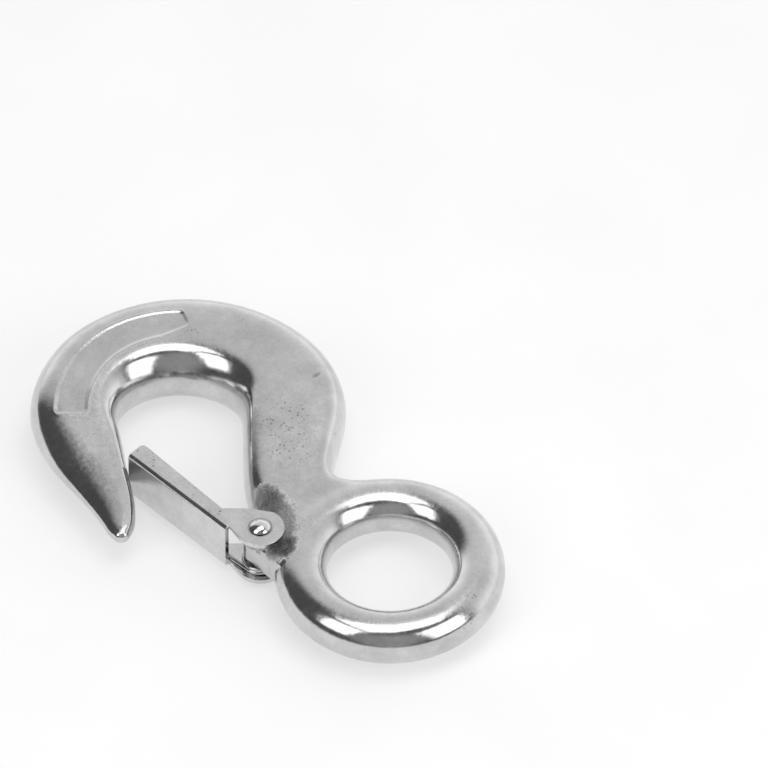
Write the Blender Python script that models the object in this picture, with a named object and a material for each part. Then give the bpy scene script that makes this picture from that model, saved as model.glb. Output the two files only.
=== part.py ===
"""Safety chain hook: a forged eye slip hook with a sprung sheet-metal latch.

It lies flat. The origin is the centre of the eye, on the hook's mid-plane.
+Y runs along the load line, from the eye to the bowl, and +Z is the thickness.
The tip, the throat and the latch are on the -X side.
"""

import bpy
import bmesh
from math import copysign, cos, pi, radians, sin
from mathutils import Vector

MM = 0.001

# Eye: a ring of round bar
EYE_MEAN_R = 17.6 * MM
EYE_BAR_R = 5.2 * MM
EYE_SEGMENTS = 40
EYE_SIDES = 12
NECK_SEGMENTS = 6
NECK_SIDES = 4
NECK_SWELL = 0.6 * MM

# Shank, bowl and tip: cross-sections from the neck to the tip, in millimetres.
# Each row has a point on the outer edge, the facing point on the inner edge, half the
# thickness, and how far the rounding of the outer and inner edges reaches in. The
# rounding is ROUND_RISE times as high as it is deep, or the whole half thickness. On the
# inner edge an INNER_POWER above 1 flattens the round towards a chamfer.
SECTIONS_MM = (
    (8.2, 23.1, -11.0, 22.4, 4.7, 3.8, 3.2),
    (8.8, 26.4, -10.8, 25.8, 5.0, 3.8, 3.4),
    (14.7, 30.4, -9.0, 32.3, 5.6, 4.2, 3.8),
    (20.6, 34.4, -5.0, 37.3, 6.4, 4.6, 4.0),
    (25.0, 39.3, -0.6, 42.3, 7.0, 4.8, 4.1),
    (27.8, 45.6, 3.8, 47.0, 7.4, 5.0, 4.2),
    (28.9, 51.8, 7.8, 51.7, 7.4, 5.0, 4.8),
    (28.7, 57.9, 7.3, 57.9, 7.4, 5.0, 5.2),
    (26.6, 66.9, 5.6, 61.6, 7.4, 5.0, 5.3),
    (20.8, 76.4, 3.6, 64.3, 7.4, 5.0, 5.3),
    (12.4, 83.3, 0.9, 66.2, 7.4, 5.0, 5.3),
    (2.5, 87.2, -1.7, 67.4, 7.4, 5.0, 5.3),
    (-8.3, 87.9, -5.3, 68.1, 7.3, 5.0, 5.1),
    (-18.7, 84.3, -9.5, 67.6, 6.8, 5.2, 4.4),
    (-25.7, 77.9, -13.1, 65.2, 6.0, 5.1, 3.4),
    (-28.8, 71.1, -15.0, 61.6, 5.1, 5.6, 2.6),
    (-30.7, 65.3, -17.6, 58.0, 4.3, 6.8, 2.0),
    (-31.4, 59.2, -20.9, 53.3, 3.6, 7.6, 1.6),
    (-32.2, 53.1, -23.5, 48.6, 2.9, 6.5, 1.5),
    (-33.1, 48.1, -27.0, 44.3, 2.3, 4.5, 1.4),
    (-34.1, 45.2, -29.3, 42.3, 1.9, 2.9, 1.3),
    (-33.9, 43.7, -30.8, 41.8, 1.55, 1.6, 1.3),
)
ROUND_RISE = 1.35
INNER_POWER = 1.25
TIP_REACH = 1.2 * MM
TIP_LEANS = (30, 56, 77)

# Latch: one folded sheet. Its ears turn on the rivet, its web closes the throat.
PIVOT = Vector((-14.3, 22.1, 0.0)) * MM
SHEET = 1.0 * MM
LATCH_HALF = 5.65 * MM
EAR_R = 4.8 * MM
WEB_FOOT = (-19.5 * MM, 26.4 * MM)
WEB_END = (-20.3 * MM, 54.0 * MM)
CHEEK_END = (-16.0 * MM, 54.3 * MM)
CHEEK_WAIST = (-16.3 * MM, 31.0 * MM)
CHEEK_FLARE = (-12.5 * MM, 27.4 * MM)
EAR_ARC = (165, 375)
EAR_STEPS = 20
WEB_TRIM = 0.25 * MM

# Rivet and its running clearance
PIN_R = 1.5 * MM
PIN_CLEARANCE = 0.08 * MM
HEAD_R = 2.15 * MM
HEAD_HEIGHT = 1.0 * MM
HEAD_GAP = 0.15 * MM
ROUND_STEPS = 32

# Lug of the body, between the ears
LUG_TOP = 4.35 * MM
LUG_BOTTOM = -2.3 * MM
LUG_FACE_X = -17.2 * MM
LUG_FOOT_Y = 13.0 * MM
LUG_HEAD_Y = 25.6 * MM
LUG_CORNER = 2.8 * MM
LUG_CORNER_STEPS = 4
LUG_EDGE = 2.0 * MM
LUG_EDGE_END_X = -12.5 * MM
LUG_ROOT = ((-6.0 * MM, 27.5 * MM), (-6.0 * MM, 16.0 * MM), (-12.0 * MM, 12.0 * MM))

# Torsion spring under the lug
WIRE_R = 0.42 * MM
COIL_R = 3.35 * MM
COIL_PITCH = 0.88 * MM
COIL_TURNS = 1.5
COIL_TOP_Z = -2.84 * MM
COIL_STEPS = 24
BODY_LEG = (-11.3 * MM, 29.5 * MM)
LATCH_LEG = ((-18.0 * MM, 27.5 * MM), (-18.2 * MM, 37.0 * MM))


def clear_scene():
    for item in list(bpy.data.objects):
        bpy.data.objects.remove(item, do_unlink=True)


def material(name, colour, roughness, metallic=1.0):
    made = bpy.data.materials.new(name)
    made.use_nodes = True
    shader = made.node_tree.nodes["Principled BSDF"]
    shader.inputs["Base Color"].default_value = (*colour, 1.0)
    shader.inputs["Roughness"].default_value = roughness
    shader.inputs["Metallic"].default_value = metallic
    return made


def add_object(name, bm, look=None, sharp_angle=radians(35)):
    """Turn a bmesh into a named, smooth-shaded object."""
    bmesh.ops.recalc_face_normals(bm, faces=bm.faces)
    mesh = bpy.data.meshes.new(name)
    bm.to_mesh(mesh)
    bm.free()
    mesh.shade_smooth()
    mesh.set_sharp_from_angle(angle=sharp_angle)
    made = bpy.data.objects.new(name, mesh)
    bpy.context.scene.collection.objects.link(made)
    if look:
        mesh.materials.append(look)
    return made


def add_cutter(name, bm):
    made = add_object(name, bm)
    made.hide_render = True
    made.display_type = "WIRE"
    return made


def boolean(target, tool, operation):
    modifier = target.modifiers.new(tool.name, "BOOLEAN")
    modifier.operation = operation
    modifier.solver = "EXACT"
    modifier.object = tool


def skin(bm, loop_a, loop_b):
    """Join two closed loops of equal length with quads."""
    count = len(loop_a)
    for i in range(count):
        j = (i + 1) % count
        bm.faces.new((loop_a[i], loop_a[j], loop_b[j], loop_b[i]))


def prism(bm, outline, bottom, top):
    """Add an upright solid with this outline, seen from above."""
    face = bm.faces.new([bm.verts.new((p.x, p.y, bottom)) for p in outline])
    grown = bmesh.ops.extrude_face_region(bm, geom=[face])
    raised = [item for item in grown["geom"] if isinstance(item, bmesh.types.BMVert)]
    bmesh.ops.translate(bm, verts=raised, vec=(0.0, 0.0, top - bottom))


def eye_ring(bm):
    """Add the ring without the patch where the neck grows out. Return the patch's rim,
    in the same order as a cross-section's points."""
    swell = 3.0 / (2.0 + cos(2.0 * pi / EYE_SIDES))
    bar = EYE_BAR_R * swell
    grid = []
    for i in range(EYE_SEGMENTS):
        turn = 2.0 * pi * i / EYE_SEGMENTS
        column = []
        for j in range(EYE_SIDES):
            lean = 2.0 * pi * j / EYE_SIDES
            reach = EYE_MEAN_R + bar * cos(lean)
            point = (reach * cos(turn), reach * sin(turn), bar * sin(lean))
            column.append(bm.verts.new(point))
        grid.append(column)
    top = EYE_SEGMENTS // 4
    first = top - NECK_SEGMENTS // 2
    last = top + NECK_SEGMENTS // 2
    side = NECK_SIDES // 2
    for i in range(EYE_SEGMENTS):
        for j in range(-EYE_SIDES // 2, EYE_SIDES // 2):
            if first <= i < last and -side <= j < side:
                continue
            a = grid[i]
            b = grid[(i + 1) % EYE_SEGMENTS]
            bm.faces.new((a[j], b[j], b[j + 1], a[j + 1]))
    for i in range(first + 1, last):
        for j in range(-side + 1, side):
            bm.verts.remove(grid[i][j])
    rim = [grid[i][side] for i in range(last, first, -1)]
    rim += [grid[first][j] for j in range(side, -side, -1)]
    rim += [grid[i][-side] for i in range(first, last)]
    rim += [grid[last][j] for j in range(-side, side)]
    for vert in rim:
        outward = Vector((vert.co.x, vert.co.y, 0.0)).normalized()
        vert.co += outward * NECK_SWELL * (1.0 - abs(vert.co.z) / bar)
    return rim


def section_points(outer, inner, half, outer_round, inner_round):
    """Points round one cross-section, from the inner upper corner over the top."""
    across = outer - inner
    width = across.length
    across.normalize()
    leans = [radians(lean) for lean in (60, 30, 0, -30, -60)]
    spans = NECK_SEGMENTS - 2
    flat = width - outer_round - inner_round
    inner_drop = min(half, inner_round * ROUND_RISE)
    outer_drop = min(half, outer_round * ROUND_RISE)

    def place(x, z):
        return inner + across * x + Vector((0.0, 0.0, z))

    def rise(lean, drop, power=1.0):
        wall = copysign(half - drop, lean) if lean else 0.0
        return wall + copysign(drop * abs(sin(lean)) ** power, lean)

    def inner_side(lean):
        reach = inner_round * (1.0 - cos(lean) ** INNER_POWER)
        return place(reach, rise(lean, inner_drop, INNER_POWER))

    def outer_side(lean):
        return place(width - outer_round * (1.0 - cos(lean)), rise(lean, outer_drop))

    flats = [inner_round + flat * k / spans for k in range(spans + 1)]
    points = [inner_side(leans[0])]
    points += [place(x, half) for x in flats]
    points += [outer_side(lean) for lean in leans]
    points += [place(x, -half) for x in reversed(flats)]
    points += [inner_side(lean) for lean in reversed(leans[1:])]
    return points


def cap(bm, loop):
    """Close a cross-section with a grid of quads."""
    wide = NECK_SEGMENTS
    high = NECK_SIDES
    top = loop[: wide + 1]
    right = loop[wide : wide + high + 1]
    bottom = loop[wide + high : 2 * wide + high + 1][::-1]
    left = ([loop[0]] + loop[: 2 * wide + high - 1 : -1])[: high + 1]
    rows = [top]
    for r in range(1, high):
        row = [left[r]]
        for c in range(1, wide):
            u = c / wide
            v = r / high
            co = top[c].co.lerp(bottom[c].co, v) + left[r].co.lerp(right[r].co, u)
            corners = top[0].co.lerp(top[-1].co, u).lerp(bottom[0].co.lerp(bottom[-1].co, u), v)
            row.append(bm.verts.new(co - corners))
        row.append(right[r])
        rows.append(row)
    rows.append(bottom)
    for upper, lower in zip(rows, rows[1:]):
        for c in range(wide):
            bm.faces.new((upper[c], upper[c + 1], lower[c + 1], lower[c]))


def tip_nub(bm, rim, ahead):
    """Round off the last cross-section with shrinking rings and a cap."""
    middle = sum((vert.co for vert in rim), Vector()) / len(rim)
    loop = rim
    for lean in TIP_LEANS:
        centre = middle + ahead * TIP_REACH * sin(radians(lean))
        shrink = cos(radians(lean))
        fresh = [bm.verts.new(centre + (vert.co - middle) * shrink) for vert in rim]
        skin(bm, loop, fresh)
        loop = fresh
    cap(bm, loop)


def shank_to_tip(bm, rim):
    """Grow the shank, bowl and tip out of the eye's open patch."""
    loop = rim
    for row in SECTIONS_MM:
        outer = Vector((row[0], row[1], 0.0)) * MM
        inner = Vector((row[2], row[3], 0.0)) * MM
        half, outer_round, inner_round = (value * MM for value in row[4:])
        points = section_points(outer, inner, half, outer_round, inner_round)
        fresh = [bm.verts.new(point) for point in points]
        skin(bm, loop, fresh)
        loop = fresh
    across = (outer - inner).normalized()
    tip_nub(bm, loop, Vector((-across.y, across.x, 0.0)))


def is_lug_rim(edge):
    """True for the lug's upper edges, except those buried in the body."""
    return all(
        abs(vert.co.z - LUG_TOP) < 0.01 * MM and vert.co.x < LUG_EDGE_END_X for vert in edge.verts
    )


def lug_block():
    """The boss that the latch turns on, as a solid to be joined to the body."""
    outline = [Vector((LUG_FACE_X, LUG_FOOT_Y))]
    middle = Vector((LUG_FACE_X + LUG_CORNER, LUG_HEAD_Y - LUG_CORNER))
    for k in range(LUG_CORNER_STEPS + 1):
        lean = pi - k * pi / (2 * LUG_CORNER_STEPS)
        outline.append(middle + Vector((cos(lean), sin(lean))) * LUG_CORNER)
    outline += [Vector(spot) for spot in LUG_ROOT]
    bm = bmesh.new()
    prism(bm, outline, LUG_BOTTOM, LUG_TOP)
    rims = [edge for edge in bm.edges if is_lug_rim(edge)]
    bmesh.ops.bevel(bm, geom=rims, offset=LUG_EDGE, segments=3, profile=0.5, affect="EDGES")
    return bm


def bore_cutter(name, radius, bottom, top):
    bm = bmesh.new()
    bmesh.ops.create_cone(
        bm, cap_ends=True, segments=ROUND_STEPS, radius1=radius, radius2=radius, depth=top - bottom
    )
    bmesh.ops.translate(bm, verts=bm.verts, vec=PIVOT + Vector((0.0, 0.0, (top + bottom) / 2)))
    return add_cutter(name, bm)


def hook_body(look):
    bm = bmesh.new()
    rim = eye_ring(bm)
    shank_to_tip(bm, rim)
    body = add_object("hook_body", bm, look, sharp_angle=radians(60))
    rounding = body.modifiers.new("rounding", "SUBSURF")
    rounding.levels = 1
    rounding.render_levels = 1
    boolean(body, add_cutter("lug_block", lug_block()), "UNION")
    bore = bore_cutter("lug_bore", PIN_R + PIN_CLEARANCE, LUG_BOTTOM - MM, LUG_TOP + MM)
    boolean(body, bore, "DIFFERENCE")
    return body


def latch_outline():
    """The cheek seen from above: web side, ear, flare and waist."""
    points = [Vector(WEB_END), Vector(WEB_FOOT)]
    start, end = EAR_ARC
    for k in range(EAR_STEPS + 1):
        lean = radians(start + (end - start) * k / EAR_STEPS)
        points.append(PIVOT.xy + Vector((cos(lean), sin(lean))) * EAR_R)
    points += [Vector(CHEEK_FLARE), Vector(CHEEK_WAIST), Vector(CHEEK_END)]
    return points


def channel_outline():
    """The space between the cheeks. It takes in the open side and everything below the web."""
    clear = 15.0 * MM
    foot = Vector(WEB_FOOT)
    end = Vector(WEB_END)
    along = (end - foot).normalized()
    inward = Vector((along.y, -along.x))
    open_side = Vector((clear, 0.0))
    start = foot + along * WEB_TRIM
    outside = start - inward * 3.0 * SHEET
    return [
        end + along * clear + inward * SHEET,
        start + inward * SHEET,
        outside,
        outside - along * clear,
        start - along * clear + open_side,
        end + along * clear + open_side,
    ]


def latch(look):
    bm = bmesh.new()
    prism(bm, latch_outline(), -LATCH_HALF, LATCH_HALF)
    piece = add_object("latch", bm, look)
    channel = bmesh.new()
    prism(channel, channel_outline(), SHEET - LATCH_HALF, LATCH_HALF - SHEET)
    boolean(piece, add_cutter("latch_channel", channel), "DIFFERENCE")
    reach = LATCH_HALF + MM
    hole = bore_cutter("ear_holes", PIN_R + PIN_CLEARANCE, -reach, reach)
    boolean(piece, hole, "DIFFERENCE")
    return piece


def latch_pin(look):
    """The rivet: a turned shape with a domed head at each end."""
    under = LATCH_HALF + HEAD_GAP
    dome = [
        (HEAD_R * cos(radians(lean)), under + HEAD_HEIGHT * sin(radians(lean)))
        for lean in (90, 65, 40, 18, 0)
    ]
    upper = dome + [(PIN_R, under)]
    profile = upper + [(r, -z) for r, z in reversed(upper)]
    bm = bmesh.new()
    verts = [bm.verts.new((r, 0.0, z)) for r, z in profile]
    edges = [bm.edges.new(pair) for pair in zip(verts, verts[1:])]
    bmesh.ops.spin(
        bm,
        geom=verts + edges,
        cent=(0.0, 0.0, 0.0),
        axis=(0.0, 0.0, 1.0),
        angle=2.0 * pi,
        steps=ROUND_STEPS,
        use_merge=True,
    )
    bmesh.ops.remove_doubles(bm, verts=bm.verts, dist=1e-6)
    piece = add_object("latch_pin", bm, look)
    piece.location = PIVOT
    return piece


def spring_route():
    """Points of the wire: the body leg, the coil, then the latch leg."""
    count = int(COIL_TURNS * COIL_STEPS)
    coil = []
    for k in range(count + 1):
        turn = -2.0 * pi * k / COIL_STEPS
        drop = COIL_PITCH * k / COIL_STEPS
        spot = Vector((cos(turn), sin(turn), 0.0)) * COIL_R
        coil.append(PIVOT + spot + Vector((0.0, 0.0, COIL_TOP_Z - drop)))
    body_end = Vector((*BODY_LEG, coil[0].z))
    latch_end = [Vector((*spot, coil[-1].z)) for spot in LATCH_LEG]
    return [body_end] + coil + latch_end


def latch_spring(look):
    route = spring_route()
    curve = bpy.data.curves.new("latch_spring", "CURVE")
    curve.dimensions = "3D"
    curve.bevel_depth = WIRE_R
    curve.bevel_resolution = 2
    curve.use_fill_caps = True
    spline = curve.splines.new("POLY")
    spline.points.add(len(route) - 1)
    for point, co in zip(spline.points, route):
        point.co = (*co, 1.0)
    curve.materials.append(look)
    piece = bpy.data.objects.new("latch_spring", curve)
    bpy.context.scene.collection.objects.link(piece)
    return piece


def main():
    clear_scene()
    forged = material("forged_stainless", (0.56, 0.56, 0.55), 0.28)
    sheet = material("sheet_stainless", (0.62, 0.62, 0.61), 0.2)
    rivet = material("rivet_stainless", (0.66, 0.66, 0.65), 0.15)
    wire = material("spring_wire", (0.45, 0.45, 0.45), 0.25)
    hook_body(forged)
    latch(sheet)
    latch_pin(rivet)
    latch_spring(wire)


main()
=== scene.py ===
"""Looks of the safety chain hook: a polished forged eye hook with a folded sheet latch.

Everything is in metres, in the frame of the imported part. The eye's centre is the
origin, +Y runs to the bowl, +Z is the thickness, and the tip and latch are at -X.
"""

from math import copysign, cos, pi, radians, sin

import bmesh
import bpy
import numpy as np
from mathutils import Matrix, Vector


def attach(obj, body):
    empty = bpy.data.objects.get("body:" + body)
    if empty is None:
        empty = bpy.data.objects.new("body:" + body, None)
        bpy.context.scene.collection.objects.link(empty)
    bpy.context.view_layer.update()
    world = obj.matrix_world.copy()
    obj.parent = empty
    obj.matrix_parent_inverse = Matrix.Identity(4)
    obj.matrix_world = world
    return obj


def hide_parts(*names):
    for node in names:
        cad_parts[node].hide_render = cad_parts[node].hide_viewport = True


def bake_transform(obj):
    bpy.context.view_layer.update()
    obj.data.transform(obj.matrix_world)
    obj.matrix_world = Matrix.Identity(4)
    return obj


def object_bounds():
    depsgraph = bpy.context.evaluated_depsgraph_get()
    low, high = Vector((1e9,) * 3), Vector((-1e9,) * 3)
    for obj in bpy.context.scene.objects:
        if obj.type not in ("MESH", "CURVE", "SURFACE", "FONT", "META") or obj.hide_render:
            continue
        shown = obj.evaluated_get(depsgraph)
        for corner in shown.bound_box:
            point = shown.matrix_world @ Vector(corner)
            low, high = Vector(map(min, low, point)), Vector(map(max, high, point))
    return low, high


MM = 0.001

# ---------------------------------------------------------------- body sizes
EYE_MEAN_R = 17.6 * MM
EYE_BAR_R = 5.2 * MM
EYE_SEGMENTS = 40
EYE_SIDES = 12
NECK_SEGMENTS = 6
NECK_SIDES = 4
NECK_SWELL = 0.6 * MM

# Cross-sections from the neck to the tip, in millimetres, as in the CAD. Each row has a
# point on the outer edge, the facing point on the inner edge, half the thickness, and
# how far the rounding of the outer and inner edges reaches in.
SECTIONS_MM = (
    (8.2, 23.1, -11.0, 22.4, 4.7, 3.8, 3.2),
    (8.8, 26.4, -10.8, 25.8, 5.0, 3.8, 3.4),
    (14.7, 30.4, -9.0, 32.3, 5.6, 4.2, 3.8),
    (20.6, 34.4, -5.0, 37.3, 6.4, 4.6, 4.0),
    (25.0, 39.3, -0.6, 42.3, 7.0, 4.8, 4.1),
    (27.8, 45.6, 3.8, 47.0, 7.4, 5.0, 4.2),
    (28.9, 51.8, 7.8, 51.7, 7.4, 5.0, 4.8),
    (28.7, 57.9, 7.3, 57.9, 7.4, 5.0, 5.2),
    (26.6, 66.9, 5.6, 61.6, 7.4, 5.0, 5.3),
    (20.8, 76.4, 3.6, 64.3, 7.4, 5.0, 5.3),
    (12.4, 83.3, 0.9, 66.2, 7.4, 5.0, 5.3),
    (2.5, 87.2, -1.7, 67.4, 7.4, 5.0, 5.3),
    (-8.3, 87.9, -5.3, 68.1, 7.3, 5.0, 5.1),
    (-18.7, 84.3, -9.5, 67.6, 6.8, 5.2, 4.4),
    (-25.7, 77.9, -13.1, 65.2, 6.0, 5.1, 3.4),
    (-28.8, 71.1, -15.0, 61.6, 5.1, 5.6, 2.6),
    (-30.7, 65.3, -17.6, 58.0, 4.3, 6.8, 2.0),
    (-31.4, 59.2, -20.9, 53.3, 3.6, 7.6, 1.6),
    (-32.2, 53.1, -23.5, 48.6, 2.9, 6.5, 1.5),
    (-33.1, 48.1, -27.0, 44.3, 2.3, 4.5, 1.4),
    (-34.1, 45.2, -29.3, 42.3, 1.9, 2.9, 1.3),
    (-33.9, 43.7, -30.8, 41.8, 1.55, 1.6, 1.3),
)
SECTION_LEANS = (60, 30, 0, -30, -60)
ROUND_RISE = 1.35
INNER_POWER = 1.25
TIP_REACH = 1.2 * MM
TIP_LEANS = (30, 56, 77)
BODY_SUBDIVISION = 3

# Recessed name panel on the bowl, left blank. Its arcs are in degrees about its centre,
# and its pointed end is an angle and a radius. It fades out over PANEL_FADE above
# PANEL_FADE_Y, and a faint lip runs round it.
PANEL_CENTRE = (-4.4 * MM, 56.1 * MM)
PANEL_OUTER_R = 24.6 * MM
PANEL_OUTER_ARC = (48.0, 137.0)
PANEL_OUTER_STEPS = 32
PANEL_INNER_R = 18.7 * MM
PANEL_INNER_ARC = (137.0, 60.0)
PANEL_INNER_STEPS = 28
PANEL_POINT = (46.0, 21.6 * MM)
PANEL_CORNER = 0.9 * MM
PANEL_DEPTH = 0.18 * MM
PANEL_WALL = 1.0 * MM
PANEL_FADE_Y = 65.0 * MM
PANEL_FADE = 7.0 * MM
LIP_HEIGHT = 0.06 * MM
LIP_OFFSET = 0.5 * MM
LIP_WIDTH = 0.4 * MM
# The mesh is made finer near the outline, on faces above UPPER_FACE_Z
UPPER_FACE_Z = 4.9 * MM
FINE_REACH = 1.6 * MM
FINE_CUTS = 7

# ---------------------------------------------------------------- latch and rivet sizes
PIVOT = Vector((-14.3, 22.1, 0.0)) * MM
SHEET = 1.0 * MM
LATCH_HALF = 5.65 * MM
EAR_R = 4.8 * MM
EAR_ARC = (172, 375)
EAR_STEPS = 32
WEB_FOOT = Vector((-19.5, 26.4)) * MM
WEB_END = Vector((-20.3, 54.0)) * MM
WEB_TRIM = 0.25 * MM
CHEEK_END = Vector((-16.0, 54.3)) * MM
CHEEK_WAIST = Vector((-16.3, 31.0)) * MM
CHEEK_FLARE = Vector((-12.5, 27.4)) * MM
CHEEK_CORNER = 1.2 * MM
CHEEK_CORNER_STEPS = 8
FOLD_R = 0.9 * MM
FOLD_INNER_R = 0.25 * MM
FOLD_STEPS = 6
CUT_EDGE = 0.13 * MM
PIN_R = 1.5 * MM
PIN_CLEARANCE = 0.08 * MM
HEAD_R = 2.15 * MM
HEAD_HEIGHT = 1.0 * MM
HEAD_GAP = 0.15 * MM
HEAD_RIM = 0.06 * MM
HEAD_CHAMFER = 0.05 * MM
HEAD_LEANS = range(0, 49, 4)
HEAD_STEPS = 56
BORE_STEPS = 48

# ---------------------------------------------------------------- lug and spring sizes
LUG_TOP = 4.35 * MM
LUG_BOTTOM = -2.3 * MM
LUG_FACE_X = -17.2 * MM
LUG_FOOT_Y = 13.0 * MM
LUG_HEAD_Y = 25.6 * MM
LUG_CORNER = 2.8 * MM
LUG_CORNER_STEPS = 8
LUG_EDGE = 2.0 * MM
LUG_EDGE_STEPS = 6
LUG_EDGE_END_X = -12.5 * MM
LUG_ROOT = ((-6.0 * MM, 27.5 * MM), (-6.0 * MM, 16.0 * MM), (-12.0 * MM, 12.0 * MM))
WIRE_R = 0.42 * MM
WIRE_SIDES = 14
COIL_R = 3.35 * MM
COIL_PITCH = 0.88 * MM
COIL_TURNS = 1.5
COIL_STEPS = 40
COIL_TOP_Z = -2.84 * MM
BODY_LEG = (-11.3 * MM, 29.5 * MM)
LATCH_LEG = ((-18.0 * MM, 27.5 * MM), (-18.2 * MM, 37.0 * MM))
LEG_STEPS = 8


# ---------------------------------------------------------------- mesh helpers
def add_object(name, bm, look=None, sharp_angle=radians(35)):
    bmesh.ops.recalc_face_normals(bm, faces=bm.faces)
    mesh = bpy.data.meshes.new(name)
    bm.to_mesh(mesh)
    bm.free()
    mesh.shade_smooth()
    mesh.set_sharp_from_angle(angle=sharp_angle)
    made = bpy.data.objects.new(name, mesh)
    bpy.context.scene.collection.objects.link(made)
    if look:
        mesh.materials.append(look)
    return made


def settle(item):
    """Turn the object's modifiers into its mesh."""
    bpy.context.view_layer.update()
    graph = bpy.context.evaluated_depsgraph_get()
    mesh = bpy.data.meshes.new_from_object(item.evaluated_get(graph))
    old = item.data
    item.modifiers.clear()
    item.data = mesh
    bpy.data.meshes.remove(old)


def boolean(target, tool, operation):
    """Join or cut with a tool object, then remove the tool."""
    modifier = target.modifiers.new(tool.name, "BOOLEAN")
    modifier.operation = operation
    modifier.solver = "EXACT"
    modifier.object = tool
    settle(target)
    bpy.data.objects.remove(tool, do_unlink=True)


def even_shading(item, sharp_angle):
    """Weight the normals by face area, so that flats stay flat beside small roundings."""
    item.data.shade_smooth()
    item.data.set_sharp_from_angle(angle=sharp_angle)
    modifier = item.modifiers.new("even_shading", "WEIGHTED_NORMAL")
    modifier.keep_sharp = True
    settle(item)


def skin(bm, loop_a, loop_b):
    count = len(loop_a)
    for i in range(count):
        j = (i + 1) % count
        bm.faces.new((loop_a[i], loop_a[j], loop_b[j], loop_b[i]))


def prism(bm, outline, bottom, top):
    face = bm.faces.new([bm.verts.new((p[0], p[1], bottom)) for p in outline])
    grown = bmesh.ops.extrude_face_region(bm, geom=[face])
    raised = [item for item in grown["geom"] if isinstance(item, bmesh.types.BMVert)]
    bmesh.ops.translate(bm, verts=raised, vec=(0.0, 0.0, top - bottom))


def bore_cutter(name, bottom, top):
    """A cylinder on the rivet's axis, with the rivet's running clearance."""
    radius = PIN_R + PIN_CLEARANCE
    bm = bmesh.new()
    bmesh.ops.create_cone(
        bm,
        cap_ends=True,
        segments=BORE_STEPS,
        radius1=radius,
        radius2=radius,
        depth=top - bottom,
    )
    bmesh.ops.translate(bm, verts=bm.verts, vec=PIVOT + Vector((0.0, 0.0, (top + bottom) / 2)))
    return add_object(name, bm)


# ---------------------------------------------------------------- forged body
def ring_grid(bm, bar):
    """The eye's cage as a grid of vertices: round the eye, then round its bar."""
    grid = []
    for i in range(EYE_SEGMENTS):
        turn = 2.0 * pi * i / EYE_SEGMENTS
        column = []
        for j in range(EYE_SIDES):
            lean = 2.0 * pi * j / EYE_SIDES
            reach = EYE_MEAN_R + bar * cos(lean)
            column.append(bm.verts.new((reach * cos(turn), reach * sin(turn), bar * sin(lean))))
        grid.append(column)
    return grid


def eye_ring(bm):
    """The ring without the patch where the neck grows out; returns the patch's rim."""
    swell = 3.0 / (2.0 + cos(2.0 * pi / EYE_SIDES))
    bar = EYE_BAR_R * swell
    grid = ring_grid(bm, bar)
    top = EYE_SEGMENTS // 4
    first = top - NECK_SEGMENTS // 2
    last = top + NECK_SEGMENTS // 2
    side = NECK_SIDES // 2
    for i in range(EYE_SEGMENTS):
        for j in range(-EYE_SIDES // 2, EYE_SIDES // 2):
            if first <= i < last and -side <= j < side:
                continue
            a = grid[i]
            b = grid[(i + 1) % EYE_SEGMENTS]
            bm.faces.new((a[j], b[j], b[j + 1], a[j + 1]))
    for i in range(first + 1, last):
        for j in range(-side + 1, side):
            bm.verts.remove(grid[i][j])
    rim = [grid[i][side] for i in range(last, first, -1)]
    rim += [grid[first][j] for j in range(side, -side, -1)]
    rim += [grid[i][-side] for i in range(first, last)]
    rim += [grid[last][j] for j in range(-side, side)]
    for vert in rim:
        outward = Vector((vert.co.x, vert.co.y, 0.0)).normalized()
        vert.co += outward * NECK_SWELL * (1.0 - abs(vert.co.z) / bar)
    return rim


def section_points(outer, inner, half, outer_round, inner_round):
    """Points round one cross-section, from the inner upper corner over the top."""
    across = outer - inner
    width = across.length
    across.normalize()
    leans = [radians(lean) for lean in SECTION_LEANS]
    spans = NECK_SEGMENTS - 2
    flat = width - outer_round - inner_round
    inner_drop = min(half, inner_round * ROUND_RISE)
    outer_drop = min(half, outer_round * ROUND_RISE)

    def place(x, z):
        return inner + across * x + Vector((0.0, 0.0, z))

    def rise(lean, drop, power=1.0):
        wall = copysign(half - drop, lean) if lean else 0.0
        return wall + copysign(drop * abs(sin(lean)) ** power, lean)

    def inner_side(lean):
        reach = inner_round * (1.0 - cos(lean) ** INNER_POWER)
        return place(reach, rise(lean, inner_drop, INNER_POWER))

    def outer_side(lean):
        return place(width - outer_round * (1.0 - cos(lean)), rise(lean, outer_drop))

    flats = [inner_round + flat * k / spans for k in range(spans + 1)]
    points = [inner_side(leans[0])]
    points += [place(x, half) for x in flats]
    points += [outer_side(lean) for lean in leans]
    points += [place(x, -half) for x in reversed(flats)]
    points += [inner_side(lean) for lean in reversed(leans[1:])]
    return points


def cap(bm, loop):
    """Close a section's loop with a grid of quads between its four sides."""
    wide = NECK_SEGMENTS
    high = NECK_SIDES
    top = loop[: wide + 1]
    right = loop[wide : wide + high + 1]
    bottom = loop[wide + high : 2 * wide + high + 1][::-1]
    left = ([loop[0]] + loop[: 2 * wide + high - 1 : -1])[: high + 1]
    rows = [top]
    for r in range(1, high):
        row = [left[r]]
        for c in range(1, wide):
            u = c / wide
            v = r / high
            co = top[c].co.lerp(bottom[c].co, v) + left[r].co.lerp(right[r].co, u)
            corners = top[0].co.lerp(top[-1].co, u).lerp(bottom[0].co.lerp(bottom[-1].co, u), v)
            row.append(bm.verts.new(co - corners))
        row.append(right[r])
        rows.append(row)
    rows.append(bottom)
    for upper, lower in zip(rows, rows[1:]):
        for c in range(wide):
            bm.faces.new((upper[c], upper[c + 1], lower[c + 1], lower[c]))


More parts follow.
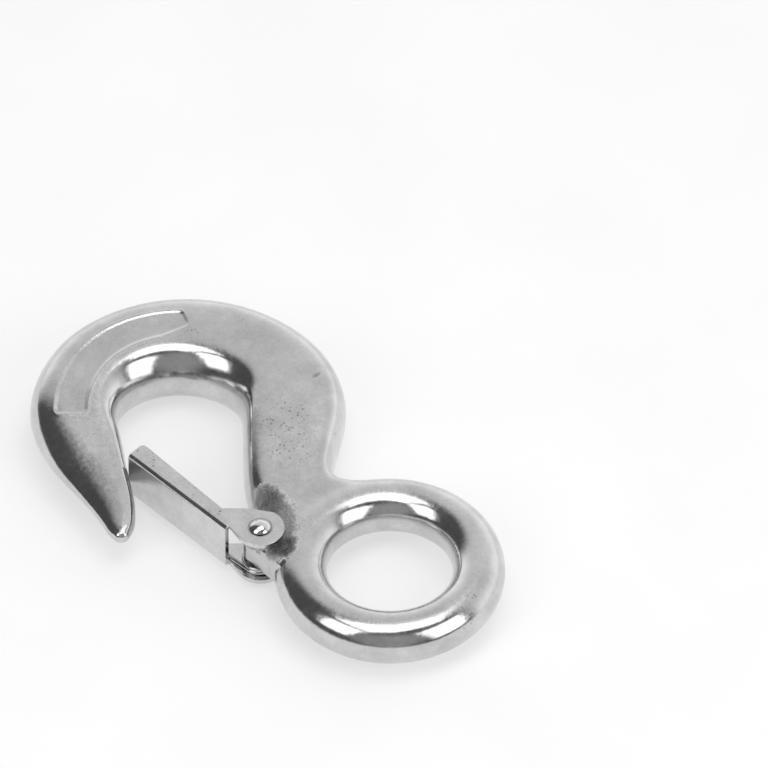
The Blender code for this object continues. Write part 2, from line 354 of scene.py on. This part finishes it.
def tip_nub(bm, rim, ahead):
    """Round off the last cross-section with shrinking rings and a cap."""
    middle = sum((vert.co for vert in rim), Vector()) / len(rim)
    loop = rim
    for lean in TIP_LEANS:
        centre = middle + ahead * TIP_REACH * sin(radians(lean))
        shrink = cos(radians(lean))
        fresh = [bm.verts.new(centre + (vert.co - middle) * shrink) for vert in rim]
        skin(bm, loop, fresh)
        loop = fresh
    cap(bm, loop)


def shank_to_tip(bm, rim):
    """Grow the shank, bowl and tip out of the eye's open patch."""
    loop = rim
    for row in SECTIONS_MM:
        outer = Vector((row[0], row[1], 0.0)) * MM
        inner = Vector((row[2], row[3], 0.0)) * MM
        half, outer_round, inner_round = (value * MM for value in row[4:])
        points = section_points(outer, inner, half, outer_round, inner_round)
        fresh = [bm.verts.new(point) for point in points]
        skin(bm, loop, fresh)
        loop = fresh
    across = (outer - inner).normalized()
    tip_nub(bm, loop, Vector((-across.y, across.x, 0.0)))


def is_lug_rim(edge):
    """True for the lug's upper edges, except those buried in the body."""
    return all(
        abs(vert.co.z - LUG_TOP) < 0.01 * MM and vert.co.x < LUG_EDGE_END_X for vert in edge.verts
    )


def lug_block():
    outline = [Vector((LUG_FACE_X, LUG_FOOT_Y))]
    middle = Vector((LUG_FACE_X + LUG_CORNER, LUG_HEAD_Y - LUG_CORNER))
    for k in range(LUG_CORNER_STEPS + 1):
        lean = pi - pi / 2 * k / LUG_CORNER_STEPS
        outline.append(middle + Vector((cos(lean), sin(lean))) * LUG_CORNER)
    outline += [Vector(spot) for spot in LUG_ROOT]
    bm = bmesh.new()
    prism(bm, outline, LUG_BOTTOM, LUG_TOP)
    bmesh.ops.bevel(
        bm,
        geom=[edge for edge in bm.edges if is_lug_rim(edge)],
        offset=LUG_EDGE,
        segments=LUG_EDGE_STEPS,
        profile=0.5,
        affect="EDGES",
    )
    return bm


def arc(radius, ends, steps):
    """Points on an arc between two angles in degrees, about the origin."""
    start, end = ends
    angles = [radians(start + (end - start) * k / steps) for k in range(steps + 1)]
    return [(cos(angle) * radius, sin(angle) * radius) for angle in angles]


def panel_outline():
    """The recessed panel's outline, drawn in by its corner radius; arcs as short chords."""
    spots = arc(PANEL_OUTER_R - PANEL_CORNER, PANEL_OUTER_ARC, PANEL_OUTER_STEPS)
    spots += arc(PANEL_INNER_R + PANEL_CORNER, PANEL_INNER_ARC, PANEL_INNER_STEPS)
    lean, reach = PANEL_POINT
    spots.append((cos(radians(lean)) * reach, sin(radians(lean)) * reach))
    return np.array(spots) + np.array(PANEL_CENTRE)


def depth_inside(points, outline):
    """Distance to the outline, positive inside, for many points at once."""
    a = outline
    b = np.roll(outline, -1, axis=0)
    edge = b - a
    rel = points[:, None, :] - a[None, :, :]
    t = np.clip((rel * edge).sum(2) / (edge * edge).sum(1), 0.0, 1.0)
    gap = rel - t[:, :, None] * edge[None, :, :]
    near = np.sqrt((gap * gap).sum(2)).min(1)
    y = points[:, 1][:, None]
    above = (a[:, 1] > y) != (b[:, 1] > y)
    with np.errstate(divide="ignore", invalid="ignore"):
        cross = edge[:, 0] * (y - a[:, 1]) / edge[:, 1] + a[:, 0]
    crossings = (above & (points[:, 0][:, None] < cross)).sum(1)
    return np.where(crossings % 2 == 1, near, -near)


def refine_outline(bm, outline):
    """Subdivide the upper face on both sides of the panel's outline."""
    faces = [f for f in bm.faces if min(v.co.z for v in f.verts) > UPPER_FACE_Z]
    middles = np.array([f.calc_center_median()[:2] for f in faces])
    near = np.abs(depth_inside(middles, outline) + PANEL_CORNER) < FINE_REACH
    edges = {e for f, keep in zip(faces, near) if keep for e in f.edges}
    bmesh.ops.subdivide_edges(bm, edges=list(edges), cuts=FINE_CUTS, use_grid_fill=True)


def press_panel(mesh):
    """Press the panel into the upper face, with a faint lip round it."""
    outline = panel_outline()
    bm = bmesh.new()
    bm.from_mesh(mesh)
    refine_outline(bm, outline)
    tops = [v for v in bm.verts if v.co.z > UPPER_FACE_Z]
    depth = depth_inside(np.array([v.co[:2] for v in tops]), outline) + PANEL_CORNER
    share = np.clip(depth / PANEL_WALL + 0.5, 0.0, 1.0)
    height = np.array([v.co.y for v in tops]) - PANEL_FADE_Y
    fade = np.clip(height / PANEL_FADE, 0.0, 1.0)
    drop = PANEL_DEPTH * fade * share * share * (3.0 - 2.0 * share)
    lip = LIP_HEIGHT * fade * np.exp(-(((depth + LIP_OFFSET) / LIP_WIDTH) ** 2))
    for vert, down, up in zip(tops, drop, lip):
        vert.co.z += up - down
    bm.to_mesh(mesh)
    bm.free()


def forged_body(look):
    bm = bmesh.new()
    shank_to_tip(bm, eye_ring(bm))
    body = add_object("forged_body", bm, look, sharp_angle=radians(60))
    rounding = body.modifiers.new("rounding", "SUBSURF")
    rounding.levels = BODY_SUBDIVISION
    rounding.render_levels = BODY_SUBDIVISION
    settle(body)
    press_panel(body.data)
    boolean(body, add_object("lug", lug_block()), "UNION")
    boolean(body, bore_cutter("bore", LUG_BOTTOM - MM, LUG_TOP + MM), "DIFFERENCE")
    even_shading(body, radians(50))
    return body


# ---------------------------------------------------------------- latch
def fold_profile(radius, offset):
    """Points of (inward, height) across the folded sheet, from one cheek to the other."""
    top = LATCH_HALF - offset
    half = []
    for k in range(FOLD_STEPS + 1):
        lean = pi / 2 * k / FOLD_STEPS
        inward = offset + radius * (1.0 - sin(lean))
        half.append((inward, top - radius * (1.0 - cos(lean))))
    return half + [(inward, -height) for inward, height in reversed(half)]


def cheek_rim():
    """A cheek's outline from the web's foot, round the ear, to the web's far end."""
    start, end = EAR_ARC
    rim = []
    for k in range(EAR_STEPS + 1):
        lean = radians(start + (end - start) * k / EAR_STEPS)
        rim.append(PIVOT.xy + Vector((cos(lean), sin(lean))) * EAR_R)
    rim += [CHEEK_FLARE, CHEEK_WAIST]
    back_edge = (CHEEK_WAIST - CHEEK_END).normalized()
    end_edge = (WEB_END - CHEEK_END).normalized()
    for k in range(CHEEK_CORNER_STEPS + 1):
        share = k / CHEEK_CORNER_STEPS
        corner = CHEEK_END + back_edge * CHEEK_CORNER * (1.0 - share) ** 2
        rim.append(corner + end_edge * CHEEK_CORNER * share ** 2)
    return rim


def latch_web(bm):
    """The web with its two folds; returns its four rows of vertices."""
    along = (WEB_END - WEB_FOOT).normalized()
    inward = Vector((along.y, -along.x))

    def row(base, profile):
        spots = [(base + inward * reach, height) for reach, height in profile]
        return [bm.verts.new((spot.x, spot.y, height)) for spot, height in spots]

    foot = WEB_FOOT + along * WEB_TRIM
    outer = fold_profile(FOLD_R, 0.0)
    inner = fold_profile(FOLD_INNER_R, SHEET)
    outer_foot = row(foot, outer)
    outer_end = row(WEB_END, outer)
    inner_foot = row(foot, inner)
    inner_end = row(WEB_END, inner)
    for k in range(len(outer) - 1):
        bm.faces.new((outer_foot[k], outer_foot[k + 1], outer_end[k + 1], outer_end[k]))
        bm.faces.new((inner_foot[k], inner_end[k], inner_end[k + 1], inner_foot[k + 1]))
        bm.faces.new((outer_foot[k], inner_foot[k], inner_foot[k + 1], outer_foot[k + 1]))
        bm.faces.new((outer_end[k], outer_end[k + 1], inner_end[k + 1], inner_end[k]))
    return outer_foot, outer_end, inner_foot, inner_end


def latch_cheek(bm, rim, side, corners):
    """One cheek with its ear, on the web's four corner vertices at that side."""
    outer_foot, outer_end, inner_foot, inner_end = corners
    face = [bm.verts.new((p.x, p.y, side * LATCH_HALF)) for p in rim]
    back = [bm.verts.new((p.x, p.y, side * (LATCH_HALF - SHEET))) for p in rim]
    bm.faces.new([outer_foot, *face, outer_end])
    bm.faces.new([inner_foot, *back, inner_end])
    for k in range(len(rim) - 1):
        bm.faces.new((face[k], face[k + 1], back[k + 1], back[k]))
    bm.faces.new((outer_foot, face[0], back[0], inner_foot))
    bm.faces.new((face[-1], outer_end, inner_end, back[-1]))


def folded_latch(look):
    """One bent sheet: two cheeks with round ears, joined by the web with rounded folds."""
    bm = bmesh.new()
    rows = latch_web(bm)
    rim = cheek_rim()
    latch_cheek(bm, rim, 1.0, [row[0] for row in rows])
    latch_cheek(bm, rim, -1.0, [row[-1] for row in rows])
    piece = add_object("folded_latch", bm, look)
    edges = piece.modifiers.new("edges", "BEVEL")
    edges.width = CUT_EDGE
    edges.segments = 3
    edges.limit_method = "ANGLE"
    edges.angle_limit = radians(40)
    edges.harden_normals = False
    settle(piece)
    reach = LATCH_HALF + MM
    boolean(piece, bore_cutter("ear_holes", -reach, reach), "DIFFERENCE")
    even_shading(piece, radians(35))
    return piece


# ---------------------------------------------------------------- rivet and spring
def rivet_profile():
    """The rivet's outline as (radius, height), from the upper crown to the lower one."""
    under = LATCH_HALF + HEAD_GAP
    dome_r = (HEAD_R ** 2 + HEAD_HEIGHT ** 2) / (2.0 * HEAD_HEIGHT)
    upper = []
    for lean in HEAD_LEANS:
        drop = dome_r * (1.0 - cos(radians(lean)))
        upper.append((dome_r * sin(radians(lean)), under + HEAD_HEIGHT - drop))
    upper += [(HEAD_R, under + HEAD_RIM), (HEAD_R - HEAD_CHAMFER, under), (PIN_R, under)]
    return upper + [(r, -z) for r, z in reversed(upper)]


def domed_rivet(look):
    bm = bmesh.new()
    verts = [bm.verts.new((r, 0.0, z)) for r, z in rivet_profile()]
    edges = [bm.edges.new(pair) for pair in zip(verts, verts[1:])]
    bmesh.ops.spin(
        bm,
        geom=verts + edges,
        cent=(0.0, 0.0, 0.0),
        axis=(0.0, 0.0, 1.0),
        angle=2.0 * pi,
        steps=HEAD_STEPS,
        use_merge=True,
    )
    bmesh.ops.remove_doubles(bm, verts=bm.verts, dist=1e-6)
    bmesh.ops.translate(bm, verts=bm.verts, vec=PIVOT)
    return add_object("domed_rivet", bm, look)


def spring_route():
    """Points of the wire: the body leg, the coil, then the latch leg, with eased bends."""
    count = int(COIL_TURNS * COIL_STEPS)
    coil = []
    for k in range(count + 1):
        turn = -2.0 * pi * k / COIL_STEPS
        drop = COIL_PITCH * k / COIL_STEPS
        spot = Vector((cos(turn), sin(turn), 0.0)) * COIL_R
        coil.append(PIVOT + spot + Vector((0.0, 0.0, COIL_TOP_Z - drop)))
    body_end = Vector((*BODY_LEG, coil[0].z))
    legs = [Vector((*spot, coil[-1].z)) for spot in LATCH_LEG]
    path = [body_end.lerp(coil[0], k / LEG_STEPS) for k in range(LEG_STEPS)] + coil
    path += [coil[-1].lerp(legs[0], k / LEG_STEPS) for k in range(1, LEG_STEPS)]
    path += [legs[0].lerp(legs[1], k / LEG_STEPS) for k in range(LEG_STEPS + 1)]
    for _ in range(2):
        middle = [(a + b * 2.0 + c) / 4.0 for a, b, c in zip(path, path[1:], path[2:])]
        path = [path[0], *middle, path[-1]]
    return path


def torsion_spring(look):
    """The round wire along its route, with flat ends."""
    path = spring_route()
    bm = bmesh.new()
    side = Vector((0.0, 0.0, 1.0))
    loops = []
    for k, spot in enumerate(path):
        ahead = (path[min(k + 1, len(path) - 1)] - path[max(k - 1, 0)]).normalized()
        side = (side - ahead * side.dot(ahead)).normalized()
        other = ahead.cross(side)
        loop = []
        for j in range(WIRE_SIDES):
            lean = 2.0 * pi * j / WIRE_SIDES
            loop.append(bm.verts.new(spot + (side * cos(lean) + other * sin(lean)) * WIRE_R))
        loops.append(loop)
    for a, b in zip(loops, loops[1:]):
        skin(bm, a, b)
    bm.faces.new(loops[0])
    bm.faces.new(loops[-1])
    return add_object("torsion_spring", bm, look)


# ---------------------------------------------------------------- shader nodes
class Graph:
    """A short way to add and join nodes in one node tree."""

    def __init__(self, tree):
        self.tree = tree

    def join(self, source, socket):
        self.tree.links.new(source, socket)

    def add(self, kind, values=None):
        """A new node with values on its named inputs."""
        node = self.tree.nodes.new("ShaderNode" + kind)
        for name, value in (values or {}).items():
            node.inputs[name].default_value = value
        return node

    def math(self, operation, a, b=None):
        node = self.add("Math")
        node.operation = operation
        for socket, value in zip(node.inputs, (a, b)):
            if isinstance(value, (int, float)):
                socket.default_value = value
            elif value is not None:
                self.join(value, socket)
        return node.outputs["Value"]

    def vector(self, operation, source, value):
        """A vector operation between a source and a constant vector."""
        node = self.add("VectorMath")
        node.operation = operation
        self.join(source, node.inputs[0])
        node.inputs[1].default_value = value
        return node

    def ramp(self, source, low, high, out_low=0.0, out_high=1.0):
        """Smooth change from out_low to out_high while the source goes from low to high."""
        limits = {"From Min": low, "From Max": high, "To Min": out_low, "To Max": out_high}
        node = self.add("MapRange", limits)
        node.interpolation_type = "SMOOTHSTEP"
        self.join(source, node.inputs["Value"])
        return node.outputs["Result"]


class Surface(Graph):
    """A material whose patterns are fixed to the piece."""

    def __init__(self, name):
        self.material = bpy.data.materials.new(name)
        self.material.use_nodes = True
        super().__init__(self.material.node_tree)
        self.shader = self.tree.nodes["Principled BSDF"]
        self.place = self.add("TexCoord").outputs["Object"]

    def noise(self, scale, detail=4.0, rough=0.5, stretch=None):
        node = self.add("TexNoise", {"Scale": scale, "Detail": detail, "Roughness": rough})
        self.join(self.stretched(stretch) if stretch else self.place, node.inputs["Vector"])
        return node.outputs["Fac"]

    def stretched(self, stretch):
        node = self.add("Mapping", {"Scale": stretch})
        self.join(self.place, node.inputs["Vector"])
        return node.outputs["Vector"]

    def cells(self, scale):
        node = self.add("TexVoronoi", {"Scale": scale})
        self.join(self.place, node.inputs["Vector"])
        return node.outputs["Distance"]

    def spread(self, noise, low, high):
        """A noise's usual range, 0.3 to 0.7, spread from low to high."""
        return self.ramp(noise, 0.3, 0.7, low, high)

    def near(self, centre, radius, stretch=(1.0, 1.0, 1.0)):
        """1 at a spot on the part, falling to 0 at the radius; both in millimetres."""
        offset = self.vector("SUBTRACT", self.place, [value * MM for value in centre])
        scaled = self.vector("MULTIPLY", offset.outputs["Vector"], stretch)
        length = self.add("VectorMath")
        length.operation = "LENGTH"
        self.join(scaled.outputs["Vector"], length.inputs[0])
        return self.ramp(length.outputs["Value"], radius * MM, radius * 0.35 * MM)

    def height(self, source):
        """The absolute Z of a vector."""
        node = self.add("SeparateXYZ")
        self.join(source, node.inputs["Vector"])
        return self.math("ABSOLUTE", node.outputs["Z"])

    def total(self, first, *others):
        for other in others:
            first = self.math("ADD", first, other)
        return first

    def darken(self, tone, layers):
        """Take each mask off the tone, by its own amount."""
        for mask, amount in layers:
            tone = self.math("SUBTRACT", tone, self.math("MULTIPLY", mask, amount))
        return tone

    def grey(self, value):
        node = self.add("CombineColor")
        for socket in node.inputs:
            self.join(value, socket)
        return node.outputs["Color"]

    def bumps(self, layers):
        """A stack of bumps: each has a height, a distance in metres and a strength."""
        normal = None
        for height, distance, strength in layers:
            node = self.add("Bump", {"Distance": distance, "Strength": strength})
            self.join(height, node.inputs["Height"])
            if normal:
                self.join(normal, node.inputs["Normal"])
            normal = node.outputs["Normal"]
        return normal

    def finish(self, tone, rough, normal):
        self.join(self.grey(tone), self.shader.inputs["Base Color"])
        self.join(rough, self.shader.inputs["Roughness"])
        self.join(normal, self.shader.inputs["Normal"])
        self.shader.inputs["Metallic"].default_value = 1.0
        return self.material


# ---------------------------------------------------------------- materials
def shank_pits(n):
    """Fine pits where a broad noise is high, and more of them on the shank."""
    pit = n.ramp(n.cells(1250.0), 0.38, 0.2)
    patch = n.ramp(n.noise(150.0, 3.0), 0.62, 0.72, 0.0, 0.6)
    shank = n.math("MAXIMUM", n.near((8.6, 40.0, 7.0), 7.5), n.near((5.0, 34.5, 6.6), 7.5))
    dense = n.math("MULTIPLY", shank, n.ramp(n.noise(420.0, 3.0), 0.4, 0.56))
    return n.math("MULTIPLY", pit, n.math("MAXIMUM", patch, dense))


def forging_hollow(n):
    """The as-forged hollow between the lug and the neck: its area, painted shade, and a gritty
    crust whose darkening is partly painted shade.
    """
    uneven = n.spread(n.noise(520.0, 5.0, 0.65), -0.2, 0.2)
    area = n.near((-11.9, 23.4, 5.0), 9.6, (1.0, 1.0, 1.5))
    hollow = n.ramp(n.math("ADD", area, uneven), 0.2, 1.1)
    # painted shade: dark spots beside the lug and the neck, where the real hollow lies in shadow;
    # the mesh is flat here
    dark = n.math("MAXIMUM", n.near((-8.4, 27.0, 5.0), 5.6), n.near((-13.7, 16.4, 4.0), 4.6))
    painted_shade = n.ramp(n.math("ADD", dark, uneven), 0.15, 1.15)
    grit = n.ramp(n.noise(1700.0, 5.0, 0.7), 0.3, 0.68)
    crust_and_shade = n.math("MULTIPLY", n.math("MAXIMUM", hollow, painted_shade), grit)
    return hollow, painted_shade, crust_and_shade


def forged_steel():
    """Tumbled forging: clouded, finely grained, and duller on its flats."""
    n = Surface("forged_steel")
    cloud = n.noise(95.0, 6.0, 0.62)
    blotch = n.noise(330.0, 5.0, 0.6)
    grain = n.noise(1100.0, 6.0, 0.7)
    speck = n.noise(3200.0, 3.0, 0.6)
    flat = n.ramp(n.height(n.add("NewGeometry").outputs["Normal"]), 0.9, 0.995)
    pits = shank_pits(n)
    dent = n.near((20.6, 43.4, 6.8), 1.5, (1.0, 2.4, 1.0))
    hollow, painted_shade, crust_and_shade = forging_hollow(n)

    base = n.ramp(cloud, 0.3, 0.72, 0.525, 0.645)
    tone = n.total(base, n.spread(blotch, -0.025, 0.025), n.spread(grain, -0.02, 0.02))
    # pits and the dent are dark marks; the painted shade and the crust, partly painted shade,
    # darken the hollow beside the lug
    tone = n.darken(tone, ((pits, 0.3), (dent, 0.22), (painted_shade, 0.28), (crust_and_shade, 0.14)))
    dull = n.math("MULTIPLY", n.math("ADD", pits, hollow), 0.12)
    rough = n.total(n.spread(grain, 0.11, 0.19), n.math("MULTIPLY", flat, 0.13), dull)
    normal = n.bumps(
        (
            (grain, 0.00004, 0.26),
            (speck, 0.00003, 0.2),
            (blotch, 0.0002, 0.1),
            (cloud, 0.0006, 0.14),
            (pits, 0.00025, -0.8),
            (dent, 0.0004, -0.8),
            (hollow, 0.0012, -0.4),
            (crust_and_shade, 0.0009, 1.0),
        )
    )
    return n.finish(tone, rough, normal)


def sheet_steel():
    """Smooth rolled sheet, faintly brushed, with small groups of pits on the cheeks."""
    n = Surface("sheet_steel")
    cloud = n.noise(170.0, 5.0, 0.6)
    brush = n.noise(600.0, 4.0, 0.6, (6.0, 0.35, 6.0))
    grain = n.noise(1800.0, 4.0, 0.6)
    cluster = n.ramp(n.noise(310.0, 2.0), 0.58, 0.66)
    cheek = n.ramp(n.height(n.place), 0.0052, 0.0056)
    pit = n.math("MULTIPLY", n.ramp(n.cells(1400.0), 0.42, 0.2), n.math("MULTIPLY", cluster, cheek))
    # a thin ring of painted shadow round the rivet heads
    rivet_shadow_ring = n.ramp(n.near(PIVOT / MM, 2.9, (1.0, 1.0, 0.0)), 0.0, 0.3)

    tone = n.total(n.spread(cloud, 0.6, 0.7), n.spread(brush, -0.02, 0.02))
    tone = n.total(tone, n.spread(grain, -0.03, 0.03))
    tone = n.darken(tone, ((pit, 0.4), (rivet_shadow_ring, 0.3)))
    rough = n.math("ADD", n.spread(brush, 0.1, 0.17), n.math("MULTIPLY", pit, 0.3))
    normal = n.bumps(((brush, 0.00003, 0.4), (grain, 0.00003, 0.35), (pit, 0.0002, -0.8)))
    return n.finish(tone, rough, normal)


def rivet_steel():
    """Polished, with painted shade darkening the head towards its rim."""
    n = Surface("rivet_steel")
    grain = n.noise(1200.0, 4.0)
    # painted shade: the tone falls from the middle of the head towards its rim
    crown = n.ramp(n.near(PIVOT / MM, 2.35, (1.0, 1.0, 0.0)), 0.0, 0.3, 0.22, 0.66)
    tone = n.math("ADD", crown, n.spread(grain, 0.0, 0.08))
    return n.finish(tone, n.spread(grain, 0.08, 0.15), n.bumps(((grain, 0.00003, 0.4),)))


def drawn_wire():
    n = Surface("drawn_wire")
    grain = n.noise(1500.0, 4.0)
    tone = n.spread(grain, 0.42, 0.54)
    return n.finish(tone, n.spread(grain, 0.1, 0.18), n.bumps(((grain, 0.00002, 0.4),)))


# ---------------------------------------------------------------- studio
VIEW = Vector((0.4616, 0.4948, -0.7361)).normalized()
TARGET = Vector((0.0332, 0.0373, 0.0))
AHEAD = Vector((VIEW.x, VIEW.y, 0.0)).normalized()
RIGHT = Vector((AHEAD.y, -AHEAD.x, 0.0))
UP = Vector((0.0, 0.0, 1.0))
MIDDLE = Vector((0.0, 0.045, 0.0))
CAMERA_DISTANCE = 4.0
CAMERA_LENS = 945.0
FLOOR_HALF = 15.0
FLOOR_GLOW = 0.5
WHITE = (1.0, 1.0, 1.0, 1.0)
# Each softbox: name, direction as (right, ahead, up), distance, size and radiance
SOFTBOXES = (
    ("overhead", (0.05, -0.1, 1.0), 1.0, (0.85, 0.56), 2.4),
    ("left", (-0.58, -0.46, 0.66), 1.2, (0.56, 0.8), 2.4),
    ("right", (0.7, -0.5, 0.489), 1.2, (0.7, 0.95), 2.2),
)


def floor(level):
    n = Surface("floor_white")
    shader = n.shader
    n.join(n.grey(n.spread(n.noise(30.0, 2.0), 0.49, 0.51)), shader.inputs["Base Color"])
    shader.inputs["Roughness"].default_value = 0.9
    shader.inputs["Specular IOR Level"].default_value = 0.1
    shader.inputs["Emission Color"].default_value = WHITE
    shader.inputs["Emission Strength"].default_value = FLOOR_GLOW
    bm = bmesh.new()
    bmesh.ops.create_grid(bm, x_segments=8, y_segments=8, size=FLOOR_HALF)
    bmesh.ops.translate(bm, verts=bm.verts, vec=(0.0, 0.0, level))
    made = add_object("floor", bm, n.material)


def softbox(name, towards, distance, size, radiance):
    """An area light in a direction from the hook, facing it."""
    direction = (RIGHT * towards[0] + AHEAD * towards[1] + UP * towards[2]).normalized()
    data = bpy.data.lights.new(name, "AREA")
    data.shape = "RECTANGLE"
    data.size, data.size_y = size
    data.energy = radiance * pi * size[0] * size[1]
    lamp = bpy.data.objects.new(name, data)
    bpy.context.scene.collection.objects.link(lamp)
    lamp.location = MIDDLE + direction * distance
    lamp.rotation_euler = direction.to_track_quat("Z", "Y").to_euler()
    lamp.visible_camera = False


def room():
    """The room as light: white behind and to the right, dark on the left, dim at the camera."""
    world = bpy.data.worlds.new("room")
    world.use_nodes = True
    n = Graph(world.node_tree)
    background = n.tree.nodes["Background"]
    background.inputs["Color"].default_value = WHITE
    seen = n.add("TexCoord").outputs["Generated"]

    def towards(direction):
        return n.vector("DOT_PRODUCT", seen, direction).outputs["Value"]

    behind = n.ramp(towards(AHEAD + RIGHT * 0.45), 0.1, 0.48)
    fade = n.ramp(towards(UP), 0.12, 0.78, 1.08, 0.66)
    middle = n.ramp(towards(UP * 0.45 - AHEAD * 0.9), 0.78, 0.98, 0.0, 0.3)
    level = n.math("ADD", n.math("MULTIPLY", behind, fade), n.math("ADD", middle, 0.09))
    n.join(level, background.inputs["Strength"])
    bpy.context.scene.world = world


def studio(level):
    floor(level)
    room()
    for box in SOFTBOXES:
        softbox(*box)


def camera():
    data = bpy.data.cameras.new("camera")
    data.lens = CAMERA_LENS
    data.sensor_width = 36.0
    item = bpy.data.objects.new("camera", data)
    bpy.context.scene.collection.objects.link(item)
    item.location = TARGET - VIEW * CAMERA_DISTANCE
    item.rotation_euler = VIEW.to_track_quat("-Z", "Y").to_euler()
    bpy.context.scene.camera = item


# ---------------------------------------------------------------- assembly
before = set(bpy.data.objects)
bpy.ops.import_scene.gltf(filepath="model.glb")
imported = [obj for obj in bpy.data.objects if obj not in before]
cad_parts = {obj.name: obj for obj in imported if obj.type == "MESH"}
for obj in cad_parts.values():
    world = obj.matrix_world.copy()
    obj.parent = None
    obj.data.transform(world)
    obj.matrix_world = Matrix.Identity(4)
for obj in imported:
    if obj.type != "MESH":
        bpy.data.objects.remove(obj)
cad_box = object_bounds()

body = forged_body(forged_steel())
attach(body, "hook")
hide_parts("hook_body")

latch = folded_latch(sheet_steel())
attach(latch, "latch")
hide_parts("latch")

rivet = domed_rivet(rivet_steel())
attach(rivet, "latch")
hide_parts("latch_pin")

spring = torsion_spring(drawn_wire())
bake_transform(spring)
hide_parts("latch_spring")

camera()
studio(cad_box[0].z)
bpy.context.scene.view_settings.view_transform = "Standard"
